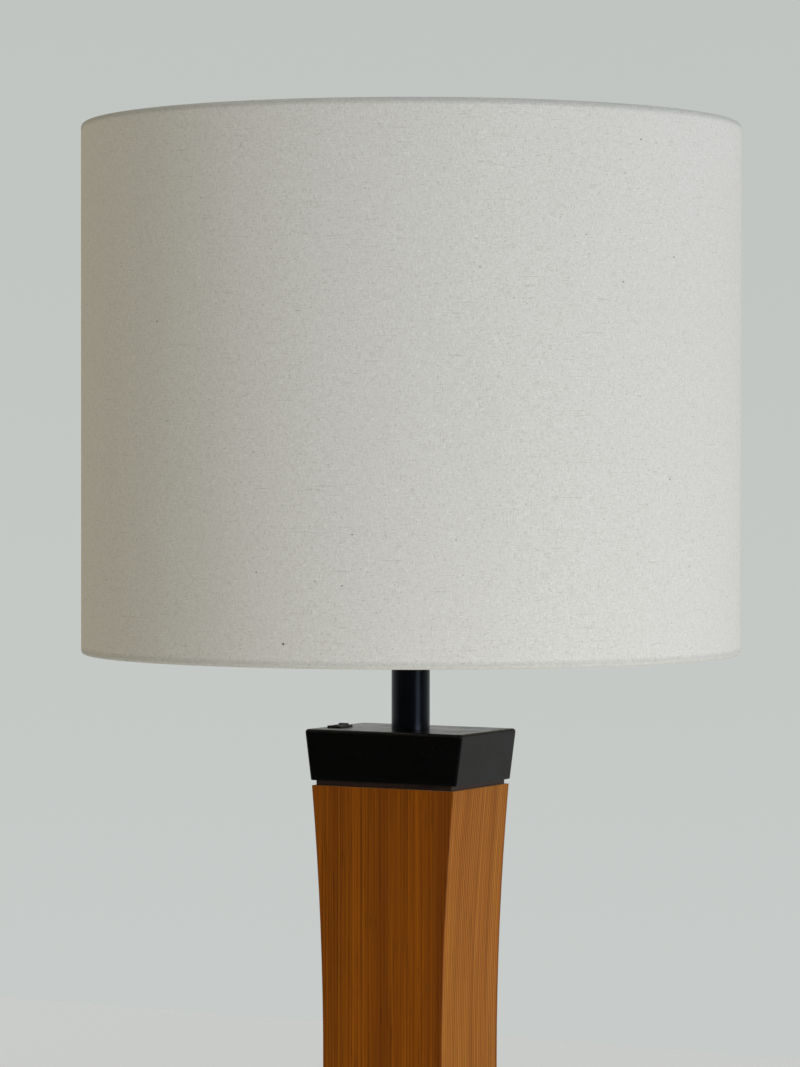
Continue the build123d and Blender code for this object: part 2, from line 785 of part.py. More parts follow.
# The middle terminal carries the lever; the front one is the contact that its rivet meets
load_contact_drop = (
    load_contact_y * sin(radians(lever_lean))
    + rivet_height * cos(radians(lever_lean))
    + load_contact_gap
)
for name, terminal_y, top_z in (
    ("switch_common_terminal", switch_y, lever_z - saddle_gap),
    ("switch_load_terminal", switch_y - load_contact_y, lever_z - load_contact_drop),
):
    with BuildPart() as switch_terminal:
        with BuildSketch(Plane.XY.offset(top_z)):
            with Locations((switch_x, terminal_y)):
                Rectangle(terminal_plate_width, terminal_plate_thickness)
        extrude(amount=housing_z - terminal_tab_length - top_z)
    finish(switch_terminal, name)

# ---------------------------------------------------------------- leads held inside
tab_x = switch_x + terminal_plate_width / 2
tab_z = cap_z + lead_tab_height
terminal_exit_x = terminal_x + terminal_width / 2
load_y = switch_y - load_contact_y
lead_runs = {
    "lead_live": (
        (terminal_exit_x - lead_start, -terminal_pole_y, terminal_z),
        (terminal_exit_x + lead_exit, -terminal_pole_y, terminal_z),
        (wire_hole_x, -lead_spacing, terminal_z),
        (wire_hole_x, -lead_spacing, tab_z),
        (live_turn_x, switch_y, tab_z),
        (tab_x, switch_y, tab_z),
    ),
    "lead_neutral": (
        (terminal_exit_x - lead_start, terminal_pole_y, terminal_z),
        (terminal_exit_x + lead_exit, terminal_pole_y, terminal_z),
        (wire_hole_x, lead_spacing, terminal_z),
        (wire_hole_x, lead_spacing, cap_z + neutral_turn_height),
        (0, lead_spacing, cap_z + neutral_entry_height),
        (0, lead_spacing, contact_foot_z),
    ),
    "lead_switched": (
        (tab_x, load_y, tab_z),
        (switched_turn_x, load_y, tab_z),
        (0, load_y, cap_z + lead_low_height),
        (0, -lead_spacing, cap_z + switched_entry_height),
        (0, -lead_spacing, contact_foot_z),
    ),
}
lead_bends = {
    "lead_live": (lead_easy_radius, lead_bend_radius, lead_bend_radius, lead_easy_radius),
    "lead_neutral": (lead_easy_radius, lead_bend_radius, lead_easy_radius, lead_easy_radius),
    "lead_switched": (lead_easy_radius, lead_bend_radius, lead_easy_radius),
}
for name, points in lead_runs.items():
    with BuildPart() as lead:
        with BuildLine() as run:
            FilletPolyline(*points, radius=lead_bends[name])
        with BuildSketch(Plane(run.line @ 0, z_dir=run.line % 0)):
            Circle(lead_radius)
        sweep()
    finish(lead, name)
    # A swept run's volume is its section times its length where no bend has pinched it
    run_length = sum(edge.length for edge in run.edges())
    filled = lead.part.volume / (pi * lead_radius**2 * run_length)
    print(f"{name}: {run_length:.0f} mm long, bends of {lead_bends[name]} mm, filled {filled:.4f}")

# ---------------------------------------------------------------- stem and lampholder
stem_radius = stem_diameter / 2
stem_bore_radius = stem_radius - stem_wall
with BuildPart() as stem_tube:
    with BuildSketch(Plane.XY.offset(cap_top_z)):
        Circle(stem_radius)
        Circle(stem_bore_radius, mode=Mode.SUBTRACT)
    extrude(amount=holder_z - cap_top_z)
finish(stem_tube, "stem_tube")

with BuildPart() as stem_bushes:
    for bush_z in (cap_top_z, holder_z - bush_thickness):
        with BuildSketch(Plane.XY.offset(bush_z)):
            Circle(stem_bore_radius - bush_gap)
            Circle(rod_radius + thread_gap, mode=Mode.SUBTRACT)
        extrude(amount=bush_thickness)
finish(stem_bushes, "stem_bushes")

with BuildPart() as holder_cup:
    turned(
        (rod_radius + thread_gap, holder_z),
        (cup_foot_radius, holder_z),
        (cup_foot_radius, holder_z + cup_rim),
        (cup_radius, holder_z + cup_flare_height),
        (cup_radius, cup_top_z),
        (cup_radius - cup_wall, cup_top_z),
        (cup_radius - cup_wall, holder_z + cup_flare_height + cup_wall / 2),
        (cup_foot_radius - cup_wall, holder_z + cup_rim + cup_wall),
        (cup_boss_radius, holder_z + cup_rim + cup_wall),
        (cup_boss_radius, rod_top_z),
        (rod_radius + thread_gap, rod_top_z),
    )
finish(holder_cup, "holder_cup")

with BuildPart() as holder_shell:
    turned(
        (spigot_radius - spigot_wall, cup_top_z - spigot_depth),
        (spigot_radius, cup_top_z - spigot_depth),
        (spigot_radius, cup_top_z),
        (shell_flange_radius, cup_top_z),
        (shell_flange_radius, flange_top_z),
        (shell_radius, flange_top_z),
        (shell_radius, shell_top_z),
        (shell_bore_radius, shell_top_z),
        (shell_bore_radius, step_z),
        (spigot_radius - spigot_wall, step_z),
    )
finish(holder_shell, "holder_shell")

with BuildPart() as holder_insert:
    turned(
        (0, insert_z),
        (spigot_radius - spigot_wall - insert_gap, insert_z),
        (spigot_radius - spigot_wall - insert_gap, step_z),
        (shell_bore_radius - insert_gap, step_z),
        (shell_bore_radius - insert_gap, insert_top_z),
        (0, insert_top_z),
    )
    with BuildSketch(Plane.XY.offset(insert_z)):
        with Locations((0, -lead_spacing), (0, lead_spacing)):
            Rectangle(contact_width + 2 * contact_slot_gap, contact_thickness + 2 * contact_slot_gap)
    extrude(amount=insert_height, mode=Mode.SUBTRACT)
    with BuildSketch(Plane.XY.offset(insert_top_z)):
        with Locations((0, lead_spacing - contact_thickness / 2 - contact_slot_gap)):
            Rectangle(
                contact_width + 2 * contact_slot_gap,
                side_contact_reach + 2 * contact_slot_gap,
                align=(Align.CENTER, Align.MIN),
            )
    extrude(amount=-side_contact_thickness - contact_slot_gap, mode=Mode.SUBTRACT)
finish(holder_insert, "holder_insert")

with BuildPart() as holder_screw_shell:
    turned(
        (screw_shell_mouth, insert_top_z),
        (screw_shell_bore_radius + screw_shell_wall, insert_top_z),
        (screw_shell_bore_radius + screw_shell_wall, insert_top_z + screw_shell_height),
        (screw_shell_bore_radius, insert_top_z + screw_shell_height),
        (screw_shell_bore_radius, insert_top_z + screw_shell_wall),
        (screw_shell_mouth, insert_top_z + screw_shell_wall),
    )
finish(holder_screw_shell, "holder_screw_shell")

with BuildPart() as holder_centre_contact:
    with BuildSketch(Plane.XY.offset(contact_foot_z)):
        with Locations((0, -lead_spacing)):
            Rectangle(contact_width, contact_thickness)
    extrude(amount=leaf_z - contact_foot_z)
    with BuildSketch(Plane.XY.offset(leaf_z)):
        with Locations((0, -lead_spacing - contact_thickness / 2)):
            Rectangle(centre_leaf_width, centre_leaf_length, align=(Align.CENTER, Align.MIN))
    extrude(amount=centre_leaf_thickness)
finish(holder_centre_contact, "holder_centre_contact")

with BuildPart() as holder_side_contact:
    with BuildSketch(Plane.XY.offset(contact_foot_z)):
        with Locations((0, lead_spacing)):
            Rectangle(contact_width, contact_thickness)
    extrude(amount=insert_top_z - contact_foot_z)
    with BuildSketch(Plane.XY.offset(insert_top_z)):
        with Locations((0, lead_spacing - contact_thickness / 2)):
            Rectangle(contact_width, side_contact_reach, align=(Align.CENTER, Align.MIN))
    extrude(amount=-side_contact_thickness)
finish(holder_side_contact, "holder_side_contact")

# ---------------------------------------------------------------- shade
hem_outer = ring_wire_radius + hem_gap + fabric_thickness
hem_inner = ring_wire_radius + hem_gap
with BuildPart() as shade_cover:
    with BuildSketch(Plane.XZ):
        with BuildLine():
            Line(hem_point(hem_outer, bottom_wire_z, 0), hem_point(hem_outer, top_wire_z, 0))
            Line(hem_point(hem_inner, bottom_wire_z, 0), hem_point(hem_inner, top_wire_z, 0))
            for wire_z, wrap in ((top_wire_z, top_hem_wrap), (bottom_wire_z, -bottom_hem_wrap)):
                for hem_radius in (hem_outer, hem_inner):
                    ThreePointArc(
                        hem_point(hem_radius, wire_z, 0),
                        hem_point(hem_radius, wire_z, wrap / 2),
                        hem_point(hem_radius, wire_z, wrap),
                    )
                Line(hem_point(hem_outer, wire_z, wrap), hem_point(hem_inner, wire_z, wrap))
        make_face()
    revolve(axis=Axis.Z)
finish(shade_cover, "shade_cover")

with BuildPart() as shade_liner:
    liner_end = ring_wire_radius + hem_gap + liner_end_gap
    with BuildSketch(Plane.XY.offset(bottom_wire_z + liner_end)):
        Circle(liner_radius)
        Circle(liner_radius - liner_thickness, mode=Mode.SUBTRACT)
    extrude(amount=top_wire_z - bottom_wire_z - 2 * liner_end)
finish(shade_liner, "shade_liner")

for name, wire_z in (("shade_bottom_ring", bottom_wire_z), ("shade_top_ring", top_wire_z)):
    with BuildPart() as wire_ring:
        with BuildSketch(Plane.XZ):
            with Locations((wire_circle_radius, wire_z)):
                Circle(ring_wire_radius)
        revolve(axis=Axis.Z)
    finish(wire_ring, name)

with BuildPart() as fitter_ring:
    with BuildSketch(Plane.XY.offset(fitter_z)):
        Circle(fitter_radius)
        Circle(fitter_hole_radius, mode=Mode.SUBTRACT)
    extrude(amount=fitter_thickness)
finish(fitter_ring, "fitter_ring")

# Each arm is a straight wire from the fitter ring down to the top of the lower wire ring
arm_inner = Vector(fitter_radius, 0, fitter_top_z - arm_radius)
arm_outer = Vector(
    liner_radius - liner_thickness - arm_end_inset,
    0,
    bottom_wire_z + ring_wire_radius + arm_rest_gap + arm_radius,
)
with BuildPart() as fitter_arms:
    for turn in range(arm_count):
        spin = arm_first_angle + turn * 360 / arm_count
        start = arm_inner.rotate(Axis.Z, spin)
        end = arm_outer.rotate(Axis.Z, spin)
        along = (end - start).normalized()
        with BuildSketch(Plane(start - along * arm_radius, z_dir=along)):
            Circle(arm_radius)
        extrude(amount=(end - start).length + arm_radius)
    with BuildSketch(Plane.XY.offset(fitter_z - 2 * arm_radius)):
        Circle(fitter_radius + arm_weld_gap)
    extrude(amount=fitter_thickness + 4 * arm_radius, mode=Mode.SUBTRACT)
finish(fitter_arms, "fitter_arms")

with BuildPart() as shade_ring:
    with BuildSketch(Plane.XY.offset(fitter_top_z + fitter_gap)):
        Circle(shade_ring_radius)
        Circle(shell_radius + shade_ring_gap, mode=Mode.SUBTRACT)
        with PolarLocations(shade_ring_radius + flute_centre_offset, flute_count):
            Circle(flute_radius, mode=Mode.SUBTRACT)
    extrude(amount=shade_ring_height)
finish(shade_ring, "shade_ring")

# ---------------------------------------------------------------- bulb
with BuildPart() as bulb_tip:
    with BuildSketch(Plane.XY.offset(bulb_z)):
        Circle(bulb_tip_radius)
    extrude(amount=bulb_tip_height)
finish(bulb_tip, "bulb_tip")

with BuildPart() as bulb_insulator:
    turned(
        (0, bulb_z + bulb_tip_height),
        (bulb_cone_foot, bulb_z + bulb_tip_height),
        (bulb_cone_radius, bulb_cap_z),
        (0, bulb_cap_z),
    )
finish(bulb_insulator, "bulb_insulator")

with BuildPart() as bulb_cap:
    turned(
        (0, bulb_cap_z),
        (bulb_cap_radius, bulb_cap_z),
        (bulb_cap_radius, bulb_cap_top_z),
        (bulb_cap_radius - bulb_cap_wall, bulb_cap_top_z),
        (bulb_cap_radius - bulb_cap_wall, bulb_cap_z + bulb_cap_wall),
        (0, bulb_cap_z + bulb_cap_wall),
    )
finish(bulb_cap, "bulb_cap")

with BuildPart() as bulb_globe:
    with BuildSketch(Plane.XZ):
        globe_outline(0)
    revolve(axis=Axis.Z)
    with BuildSketch(Plane.XZ):
        globe_outline(bulb_wall)
    revolve(axis=Axis.Z, mode=Mode.SUBTRACT)
finish(bulb_globe, "bulb_globe")

with BuildPart() as bulb_led_module:
    module_z = bulb_cap_z + bulb_cap_wall
    turned(
        (0, module_z),
        (led_stem_radius, module_z),
        (led_stem_radius, module_z + led_stem_height),
        (led_board_radius, module_z + led_stem_height),
        (led_board_radius, module_z + led_stem_height + led_board_thickness),
        (0, module_z + led_stem_height + led_board_thickness),
    )
finish(bulb_led_module, "bulb_led_module")
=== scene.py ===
"""Looks of the column table lamp: linen drum shade, teak-veneered column, lacquered blocks."""
import math

import bpy
from mathutils import Matrix, Vector


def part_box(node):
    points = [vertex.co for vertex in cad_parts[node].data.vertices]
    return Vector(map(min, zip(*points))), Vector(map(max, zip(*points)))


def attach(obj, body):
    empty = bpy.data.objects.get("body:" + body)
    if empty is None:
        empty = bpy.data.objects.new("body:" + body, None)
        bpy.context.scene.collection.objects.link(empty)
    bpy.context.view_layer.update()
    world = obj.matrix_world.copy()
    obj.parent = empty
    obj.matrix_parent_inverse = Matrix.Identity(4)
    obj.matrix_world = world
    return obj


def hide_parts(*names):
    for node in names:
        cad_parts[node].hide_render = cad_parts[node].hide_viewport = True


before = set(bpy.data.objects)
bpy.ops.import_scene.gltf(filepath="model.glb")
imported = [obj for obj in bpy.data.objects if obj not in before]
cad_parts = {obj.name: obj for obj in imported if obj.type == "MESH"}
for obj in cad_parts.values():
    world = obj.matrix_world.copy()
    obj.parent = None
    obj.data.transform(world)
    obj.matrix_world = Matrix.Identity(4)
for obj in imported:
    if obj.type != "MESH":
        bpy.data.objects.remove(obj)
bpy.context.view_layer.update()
scene = bpy.context.scene

MM = 0.001

# ---------------------------------------------------------------- camera
# A long lens about 2.4 m away, level with the lower part of the shade, sees the column's wide
# front face on the left and its narrow face on the right.
LONG_SIDE_PX = 1067
FOCAL_PX = 4000
SENSOR_WIDTH = 36.0
CAMERA_DISTANCE = 2.432
CAMERA_TURN = math.radians(29.4)
CAMERA_HEIGHT = 0.571
CAMERA_LEFT = 0.0066           # puts the lamp a little right of the middle
CAMERA_PITCH = 0.0182          # radians down
CAMERA_ROLL = 0.001            # radians, between what the column and the shade ask for

to_right = Vector((math.cos(CAMERA_TURN), math.sin(CAMERA_TURN), 0))
to_back = Vector((-math.sin(CAMERA_TURN), math.cos(CAMERA_TURN), 0))
camera_place = (
    -to_back * CAMERA_DISTANCE - to_right * CAMERA_LEFT + Vector((0, 0, CAMERA_HEIGHT))
)
sight = to_back * math.cos(CAMERA_PITCH) - Vector((0, 0, 1)) * math.sin(CAMERA_PITCH)
camera_data = bpy.data.cameras.new("photo_camera")
camera_data.sensor_width = SENSOR_WIDTH
camera_data.lens = FOCAL_PX * SENSOR_WIDTH / LONG_SIDE_PX
camera_data.clip_start = 0.1
camera_data.clip_end = 60.0
camera = bpy.data.objects.new("photo_camera", camera_data)
camera.rotation_mode = "QUATERNION"
camera.rotation_quaternion = (
    sight.to_track_quat("-Z", "Y") @ Matrix.Rotation(CAMERA_ROLL, 3, "Z").to_quaternion()
)
camera.location = camera_place
scene.collection.objects.link(camera)
scene.camera = camera


# ---------------------------------------------------------------- small helpers
def linear(code):
    """An sRGB hex colour such as "8A5015" as linear RGBA."""
    shades = [int(code[i : i + 2], 16) / 255 for i in (0, 2, 4)]
    return (*[s / 12.92 if s <= 0.04045 else ((s + 0.055) / 1.055) ** 2.4 for s in shades], 1)


def add_node(tree, kind, settings=None, links=None):
    """One node: settings go to its inputs by name or number, or else to its properties."""
    made = tree.nodes.new(kind)
    for key, value in (settings or {}).items():
        if isinstance(key, int) or key in made.inputs:
            made.inputs[key].default_value = value
        else:
            setattr(made, key, value)
    for key, source in (links or {}).items():
        tree.links.new(source, made.inputs[key])
    return made


def new_material(name, colour, **sockets):
    """A named material with its constants set straight on the shader's sockets."""
    material = bpy.data.materials.new(name)
    material.use_nodes = True
    shader = material.node_tree.nodes["Principled BSDF"]
    shader.inputs["Base Color"].default_value = linear(colour)
    for socket, value in sockets.items():
        shader.inputs[socket.replace("_", " ")].default_value = value
    material.diffuse_color = linear(colour)
    return material, material.node_tree, shader


def stretched_noise(tree, place, feature_mm, seed, detail):
    """Noise whose features are feature_mm long along each axis; 0 leaves an axis out."""
    scale = [1 / (size * MM) if size else 0.0 for size in feature_mm]
    spot = add_node(
        tree, "ShaderNodeMapping", {"Scale": scale, "Location": (seed, seed * 0.7, seed * 1.3)},
        {"Vector": place},
    )
    noise = add_node(
        tree, "ShaderNodeTexNoise", {"Scale": 1.0, "Detail": detail, "Roughness": 0.5},
        {"Vector": spot.outputs["Vector"]},
    )
    return noise.outputs["Fac"]


def ramp(tree, source, *stops):
    """A colour ramp with (position, hex colour) stops."""
    made = add_node(tree, "ShaderNodeValToRGB", links={"Fac": source})
    while len(made.color_ramp.elements) < len(stops):
        made.color_ramp.elements.new(0.5)
    for element, (position, code) in zip(made.color_ramp.elements, stops):
        element.position = position
        element.color = linear(code)
    return made.outputs["Color"]


def mixed(tree, factor, low, high, blend="MIX"):
    """Blends two colours; factor, low and high are sockets or plain values."""
    mix = add_node(tree, "ShaderNodeMix", {"data_type": "RGBA", "blend_type": blend})
    # A Mix node has sockets for each kind of value: these numbers are the ones for colours
    for number, value in ((0, factor), (6, low), (7, high)):
        if isinstance(value, bpy.types.NodeSocket):
            tree.links.new(value, mix.inputs[number])
        else:
            mix.inputs[number].default_value = value
    return mix.outputs[2]


def ranged(tree, source, from_low, from_high, to_low, to_high):
    """Maps a value from one range to another, clamped."""
    return add_node(
        tree, "ShaderNodeMapRange",
        {"From Min": from_low, "From Max": from_high, "To Min": to_low, "To Max": to_high},
        {"Value": source},
    ).outputs["Result"]


def worked(tree, operation, first, second):
    """A Math node on two values."""
    math_node = add_node(tree, "ShaderNodeMath", {"operation": operation})
    for number, value in enumerate((first, second)):
        if isinstance(value, bpy.types.NodeSocket):
            tree.links.new(value, math_node.inputs[number])
        else:
            math_node.inputs[number].default_value = value
    return math_node.outputs[0]


def bumped(tree, shader, height, depth_mm, strength):
    """Gives the shader a bump of depth_mm, for marks too fine to model; strength softens it."""
    bump = add_node(
        tree, "ShaderNodeBump", {"Strength": strength, "Distance": depth_mm * MM},
        {"Height": height},
    )
    tree.links.new(bump.outputs["Normal"], shader.inputs["Normal"])


def object_place(tree):
    """The point being shaded, in the lamp's own frame and in metres."""
    return add_node(tree, "ShaderNodeTexCoord").outputs["Object"]


# ---------------------------------------------------------------- materials
def teak_veneer(name, across, line_mm, wander, line_strength, tones, seed):
    """Oiled quarter-cut teak: straight dark lines up the column, broad warm bands, fine pores.

    across is the veneer's width axis; the other one is left out, so that the grain stays
    straight where the side faces bow. tones are dark, middle and light, then the streaks' two,
    then the lines'. line_mm is how far apart the growth lines are, wander how uneven, and
    line_strength how little and how much they show."""
    dark, middle, light, deep_streak, pale_streak, line_tone = tones
    material, tree, shader = new_material(name, middle, Roughness=0.45, Specular_IOR_Level=0.12)
    place = object_place(tree)

    def grain(width_mm, length_mm, number, detail):
        size = (width_mm, 0, length_mm) if across == "X" else (0, width_mm, length_mm)
        return stretched_noise(tree, place, size, seed + number, detail)

    broad = grain(14.0, 500.0, 1, 1.0)
    streaks = grain(2.6, 300.0, 2, 3.0)
    fibres = grain(0.7, 60.0, 3, 2.0)
    pores = grain(0.5, 26.0, 4, 1.0)
    strong = grain(7.0, 160.0, 5, 2.0)
    drawn_out = add_node(
        tree, "ShaderNodeMapping", {"Scale": (1.0, 1.0, 0.012), "Location": (seed, seed, 0)},
        {"Vector": place},
    ).outputs["Vector"]
    # A wave texture repeats every tau / 20 units
    wave_scale = math.tau / 20 / (line_mm * MM)
    growth = add_node(
        tree, "ShaderNodeTexWave",
        {"bands_direction": across, "Scale": wave_scale, "Distortion": wander, "Detail": 2.0,
         "Detail Scale": 0.6, "Detail Roughness": 0.6},
        {"Vector": drawn_out},
    ).outputs["Fac"]
    tone = ramp(tree, broad, (0.3, dark), (0.5, middle), (0.7, light))
    tone = mixed(tree, ranged(tree, streaks, 0.46, 0.30, 0.0, 0.55), tone, linear(deep_streak))
    tone = mixed(tree, ranged(tree, streaks, 0.54, 0.70, 0.0, 0.55), tone, linear(pale_streak))
    tone = mixed(tree, ranged(tree, fibres, 0.45, 0.68, 0.0, 0.35), tone, linear(deep_streak))
    lines = worked(
        tree, "MULTIPLY", ranged(tree, growth, 0.68, 0.98, 0.0, 1.0),
        ranged(tree, strong, 0.34, 0.60, *line_strength),
    )
    tone = mixed(tree, lines, tone, linear(line_tone))
    open_pore = ranged(tree, pores, 0.36, 0.24, 0.0, 0.60)
    tone = mixed(tree, open_pore, tone, linear("3A1A00"))
    tree.links.new(tone, shader.inputs["Base Color"])
    tree.links.new(ranged(tree, fibres, 0.3, 0.7, 0.42, 0.54), shader.inputs["Roughness"])
    bumped(tree, shader, worked(tree, "SUBTRACT", fibres, open_pore), 0.04, 0.5)
    return material


def black_lacquer():
    """Black sprayed lacquer on wood: a soft gloss, with a trace of grain and orange peel."""
    material, tree, shader = new_material(
        "black_lacquer_on_wood", "050505", Roughness=0.24, Specular_IOR_Level=0.21
    )
    place = object_place(tree)
    peel = stretched_noise(tree, place, (1.6, 1.6, 1.6), 3.1, 1.0)
    grain = stretched_noise(tree, place, (60.0, 1.1, 1.1), 5.3, 2.0)
    tree.links.new(
        ramp(tree, grain, (0.35, "030303"), (0.65, "060505")), shader.inputs["Base Color"]
    )
    handled = stretched_noise(tree, place, (14.0, 14.0, 14.0), 7.9, 3.0)
    tree.links.new(ranged(tree, handled, 0.35, 0.7, 0.21, 0.30), shader.inputs["Roughness"])
    bumped(tree, shader, worked(tree, "ADD", peel, grain), 0.02, 0.35)
    return material


def stained_wood():
    """Dark brown stained spacer between block and column: matt, with fine dark lines along it."""
    material, tree, shader = new_material("stained_spacer_wood", "2B160E", Roughness=0.5)
    grain = stretched_noise(tree, object_place(tree), (30.0, 0.8, 0.8), 2.2, 2.0)
    tree.links.new(
        ramp(tree, grain, (0.35, "1E0E08"), (0.65, "381D12")), shader.inputs["Base Color"]
    )
    bumped(tree, shader, grain, 0.05, 0.5)
    return material


def raw_board():
    """Birch core under the veneer: pale and matt, with its grain up the column."""
    material, tree, shader = new_material("raw_birch_board", "C8A878", Roughness=0.7)
    grain = stretched_noise(tree, object_place(tree), (1.2, 1.2, 60.0), 4.4, 3.0)
    tree.links.new(
        ramp(tree, grain, (0.3, "B08C5A"), (0.7, "D2B688")), shader.inputs["Base Color"]
    )
    bumped(tree, shader, grain, 0.08, 0.5)
    return material


def metal(name, colour, roughness, grit_mm, depth_mm, across="XYZ"):
    """Bare metal: grit_mm is the size of its surface marks, and depth_mm their depth.

    across names the axes that the marks cross; along any other they are drawn out."""
    material, tree, shader = new_material(name, colour, Metallic=1.0, Roughness=roughness)
    drawn_out = 40
    sizes = [grit_mm * (1 if axis in across else drawn_out) for axis in "XYZ"]
    marks = stretched_noise(tree, object_place(tree), sizes, 6.6, 2.0)
    tree.links.new(
        ranged(tree, marks, 0.3, 0.7, roughness * 0.8, roughness * 1.25),
        shader.inputs["Roughness"],
    )
    bumped(tree, shader, marks, depth_mm, 0.5)
    return material


def moulded(name, colour, roughness, grit_mm, depth_mm, wear, **sockets):
    """Moulded plastic, rubber or sprayed paint: an even colour with a fine textured skin.

    wear is the tone that it clouds towards."""
    material, tree, shader = new_material(name, colour, Roughness=roughness, **sockets)
    place = object_place(tree)
    skin = stretched_noise(tree, place, (grit_mm,) * 3, 8.2, 2.0)
    cloud = stretched_noise(tree, place, (9.0, 9.0, 9.0), 1.7, 2.0)
    worn = ranged(tree, cloud, 0.3, 0.7, 0.0, 0.35)
    tree.links.new(
        mixed(tree, worn, linear(colour), linear(wear)), shader.inputs["Base Color"]
    )
    tree.links.new(
        ranged(tree, cloud, 0.3, 0.7, roughness * 0.88, roughness * 1.12),
        shader.inputs["Roughness"],
    )
    bumped(tree, shader, skin, depth_mm, 0.6)
    return material


def woven_linen(wall_height):
    """Natural linen laminated on a drum: plain weave of uneven yarns, slubs and a few dark flecks.

    The weave follows the cloth's own UV map, which is in metres and starts at the lower wire.
    Real yarns are about 0.5 mm apart, which is under a pixel in the photograph, so they are
    drawn 0.6 mm wide and a little uneven. The rolled rims get painted shade, a darker tone
    where the cloth turns over the wires."""
    material, tree, shader = new_material(
        "laminated_natural_linen", "D2D0CA", Roughness=0.9, Diffuse_Roughness=0.4,
    )
    place = add_node(tree, "ShaderNodeUVMap", {"uv_map": "flat_cut"}).outputs["UV"]
    warp = stretched_noise(tree, place, (0.6, 1.8, 0), 1.0, 0.0)
    weft = stretched_noise(tree, place, (1.5, 0.6, 0), 2.0, 0.0)
    warp_slub = stretched_noise(tree, place, (0.6, 4.0, 0), 3.0, 0.0)
    weft_slub = stretched_noise(tree, place, (3.6, 0.6, 0), 4.0, 0.0)
    long_slub = stretched_noise(tree, place, (15.0, 0.7, 0), 8.0, 0.0)
    cloud = stretched_noise(tree, place, (50.0, 90.0, 0), 5.0, 1.0)
    grit = stretched_noise(tree, place, (0.45, 0.45, 0), 7.0, 0.0)
    specks = stretched_noise(tree, place, (1.1, 1.0, 0), 6.0, 0.0)
    flecks = stretched_noise(tree, place, (3.4, 2.2, 0), 9.0, 0.0)
    yarns = worked(tree, "ADD", warp, weft)
    raised = ranged(tree, yarns, 0.60, 1.40, 0.0, 1.0)
    tone = ramp(tree, raised, (0.0, "CFCECA"), (1.0, "DDDDDA"))
    tone = mixed(tree, ranged(tree, grit, 0.30, 0.75, 0.35, 0.0), tone, linear("C3C0B9"))
    tone = mixed(tree, ranged(tree, grit, 0.60, 0.80, 0.0, 0.35), tone, linear("F0F0EE"))
    for slub in (warp_slub, weft_slub):
        tone = mixed(tree, ranged(tree, slub, 0.69, 0.82, 0.0, 0.40), tone, linear("A8A498"))
        tone = mixed(tree, ranged(tree, slub, 0.31, 0.18, 0.0, 0.40), tone, linear("F0F0EE"))
    tone = mixed(tree, ranged(tree, long_slub, 0.77, 0.88, 0.0, 0.40), tone, linear("AAA69B"))
    tone = mixed(tree, ranged(tree, cloud, 0.35, 0.65, 0.0, 0.08), tone, linear("CBC8BF"))
    tone = mixed(tree, ranged(tree, specks, 0.76, 0.86, 0.0, 0.6), tone, linear("8E8674"))
    tone = mixed(tree, ranged(tree, flecks, 0.885, 0.90, 0.0, 0.9), tone, linear("4A4134"))
    # Painted shade on the rolled rims, where the cloth turns over the wires: it fades out
    # 1.7 mm below the top wire's middle and 2.6 mm above the lower one's
    up = add_node(tree, "ShaderNodeSeparateXYZ", links={"Vector": place}).outputs["Y"]
    top_rim_shade = ranged(tree, up, wall_height - 1.7 * MM, wall_height + 0.4 * MM, 0.0, 1.0)
    low_rim_shade = ranged(tree, up, 2.6 * MM, 0.3 * MM, 0.0, 0.6)
    rims = worked(tree, "MAXIMUM", top_rim_shade, low_rim_shade)
    # Multiplies the rims' painted shade into the cloth's tone
    tone = mixed(tree, rims, tone, linear("E2E4E4"), "MULTIPLY")
    tree.links.new(tone, shader.inputs["Base Color"])
    bumped(tree, shader, worked(tree, "ADD", yarns, warp_slub), 0.08, 0.3)
    return material


def liner_sheet():
    """White styrene liner: smooth, faintly cloudy, slightly glossier than the cloth."""
    return moulded("white_styrene_liner", "E9E7E0", 0.45, 2.5, 0.02, "DEDBD2")


# Plastics and paints: name, colour, roughness, grit and its depth in mm, tone of wear
# Moulded rubber: matt black, greyer where it is rubbed
RUBBER = moulded("black_moulded_rubber", "141414", 0.72, 0.5, 0.04, "1E1E1D")
# Pressed bakelite: satin black with a fine mould grain
BLACK_PLASTIC = moulded("black_bakelite", "0D0D0E", 0.38, 0.6, 0.015, "171717")
# Polished nylon: black with small sharp highlights
GLOSS_PLASTIC = moulded("black_polished_nylon", "0B0B0C", 0.22, 0.6, 0.006, "151515")
# Pressed urea: creamy white, satin
WHITE_MOULDING = moulded("white_urea_moulding", "E4E2DA", 0.40, 0.6, 0.01, "D9D6CC")
# Powder coat on steel wire: white, satin and faintly pebbled
WHITE_WIRE = moulded("white_powder_coated_wire", "E2E1DC", 0.42, 0.7, 0.02, "D6D4CC")
# Extruded PVC sleeves: smooth and even, in the usual brown and blue
BROWN_SLEEVE = moulded("brown_pvc_insulation", "4A2414", 0.35, 0.8, 0.004, "56301D")
BLUE_SLEEVE = moulded("blue_pvc_insulation", "1C4C8C", 0.35, 0.8, 0.004, "285A9A")
# Sprayed enamel on the steel stem: near black, with a cool soft highlight
ENAMEL = moulded(
    "black_satin_enamel", "080A0D", 0.24, 1.1, 0.006, "0C0F14",
    Specular_IOR_Level=0.25, Specular_Tint=linear("D5E2FF"),
)
# Opal glass: milky, under a clear glossy skin
OPAL_GLASS = moulded(
    "opal_glass", "F1F1EC", 0.10, 3.0, 0.002, "ECECE6",
    Coat_Weight=0.4, Coat_Roughness=0.04, Subsurface_Weight=0.3, Subsurface_Scale=0.004,
)

# Metals: name, colour, roughness, size of the marks and their depth in mm
# Turned brass: yellow with soft highlights
BRASS = metal("turned_brass", "C9A24E", 0.30, 0.3, 0.01)
# Zinc plate: pale blue-grey with soft highlights
STEEL = metal("zinc_plated_steel", "B9BBBE", 0.32, 0.4, 0.01)
# Rolled steel plate: grey, brushed along its length
STEEL_PLATE = metal("satin_steel_plate", "A9ABAE", 0.38, 0.3, 0.01, "Y")
